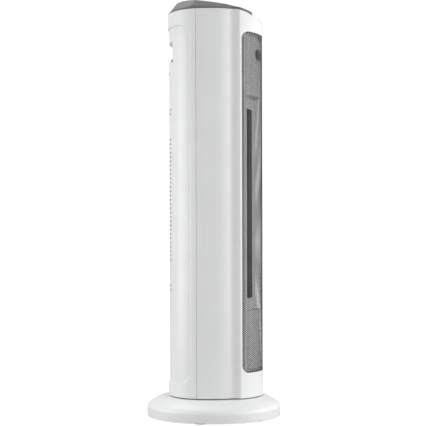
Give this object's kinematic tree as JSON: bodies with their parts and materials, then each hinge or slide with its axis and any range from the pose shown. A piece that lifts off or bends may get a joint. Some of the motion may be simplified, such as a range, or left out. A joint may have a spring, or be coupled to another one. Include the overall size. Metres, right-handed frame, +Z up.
{
  "type": "tower space heater",
  "caption": "Tall ceramic tower space heater on a round weighted foot, with a curved mesh front, an oscillating body, a rear hand pocket and a push-button top.",
  "frame": {"origin": "on the floor at the centre of the round foot, on the swivel axis", "axes": "+Z up along the tower, -Y towards the mesh front, +X to the heater's own left"},
  "size_m": [0.235, 0.235, 0.7242],
  "materials": {
    "shell_white": "satin moulded ABS",
    "cap_grey": "satin moulded ABS",
    "panel_dark": "gloss acrylic",
    "button_grey": "fine matte plastic",
    "grille_grey": "perforated steel sheet, painted",
    "inner_black": "matte moulded plastic",
    "outlet_grey": "matte heat-resistant plastic",
    "heater_plastic": "heat-resistant plastic",
    "ceramic_bar": "sintered",
    "fin_aluminium": "rolled sheet",
    "brass_tab": "stamped",
    "steel": "zinc plated",
    "screw_steel": "zinc plated",
    "rubber_black": "moulded rubber",
    "acetal_white": "acetal",
    "bush_bronze": "sintered bronze",
    "board_green": "glass-epoxy laminate",
    "component_black": "moulded housings"
  },
  "bodies": {
    "base": {"base_cover": "shell_white", "base_plate": "inner_black", "ballast_plate": "steel", "rubber_feet": "rubber_black", "base_screws": "screw_steel", "cord_gland": "rubber_black", "tip_over_switch": "component_black", "pivot_sleeve": "acetal_white", "slide_ring": "acetal_white", "retaining_collar": "acetal_white", "swing_gear": "acetal_white"},
    "tower": {"turntable": "inner_black", "swing_motor": "steel", "motor_bridge": "inner_black", "front_shell": "shell_white", "rear_shell": "shell_white", "shell_screws": "screw_steel", "handle_cup": "shell_white", "front_grille": "grille_grey", "grille_frame": "outlet_grey", "outlet_panel": "outlet_grey", "display_window": "panel_dark", "heater_frame": "heater_plastic", "ptc_bars": "ceramic_bar", "ptc_fins": "fin_aluminium", "heater_terminals": "brass_tab", "thermal_cutout": "steel", "thermal_fuse": "component_black", "blower_housing": "inner_black", "duct_bottom_plate": "inner_black", "duct_top_plate": "inner_black", "lower_bearing": "bush_bronze", "upper_bearing": "bush_bronze", "motor_stator": "steel", "motor_can": "steel", "motor_bracket": "steel", "power_board": "board_green", "power_relays": "component_black", "control_board": "board_green", "tact_switches": "component_black", "top_cap": "cap_grey", "control_panel": "panel_dark"},
    "swing_drive": {"swing_pinion": "acetal_white", "pinion_shaft": "steel"},
    "fan": {"fan_wheel": "acetal_white", "fan_shaft": "steel", "fan_rotor": "steel"},
    "power_button_body": {"power_button": "button_grey"},
    "heat_button_body": {"heat_button": "button_grey"},
    "fan_button_body": {"fan_button": "button_grey"},
    "swing_button_body": {"swing_button": "button_grey"},
    "timer_button_body": {"timer_button": "button_grey"}
  },
  "joints": [
    {"name": "tower_swing", "type": "hinge", "parent": "base", "child": "tower", "pos_m": [0, 0, 0.0405], "axis": [0, 0, 1], "range_deg": [-35, 35]},
    {"name": "pinion_spin", "type": "hinge", "parent": "tower", "child": "swing_drive", "pos_m": [0, 0.048, 0.0615], "axis": [0, 0, 1], "range_deg": [-180, 180]},
    {"name": "fan_spin", "type": "hinge", "parent": "tower", "child": "fan", "pos_m": [0, 0.022, 0.376], "axis": [0, 0, 1], "continuous": true},
    {"name": "power_button_press", "type": "slide", "parent": "tower", "child": "power_button_body", "axis": [0, 0, -1], "range_m": [0, 0.0008], "stiffness_N_per_m": 1500, "springref_m": -0.0002},
    {"name": "heat_button_press", "type": "slide", "parent": "tower", "child": "heat_button_body", "axis": [0, 0, -1], "range_m": [0, 0.0008], "stiffness_N_per_m": 1500, "springref_m": -0.0002},
    {"name": "fan_button_press", "type": "slide", "parent": "tower", "child": "fan_button_body", "axis": [0, 0, -1], "range_m": [0, 0.0008], "stiffness_N_per_m": 1500, "springref_m": -0.0002},
    {"name": "swing_button_press", "type": "slide", "parent": "tower", "child": "swing_button_body", "axis": [0, 0, -1], "range_m": [0, 0.0008], "stiffness_N_per_m": 1500, "springref_m": -0.0002},
    {"name": "timer_button_press", "type": "slide", "parent": "tower", "child": "timer_button_body", "axis": [0, 0, -1], "range_m": [0, 0.0008], "stiffness_N_per_m": 1500, "springref_m": -0.0002}
  ],
  "couplings": [
    {"joint": "pinion_spin", "follows": "tower_swing", "ratio": 5}
  ]
}
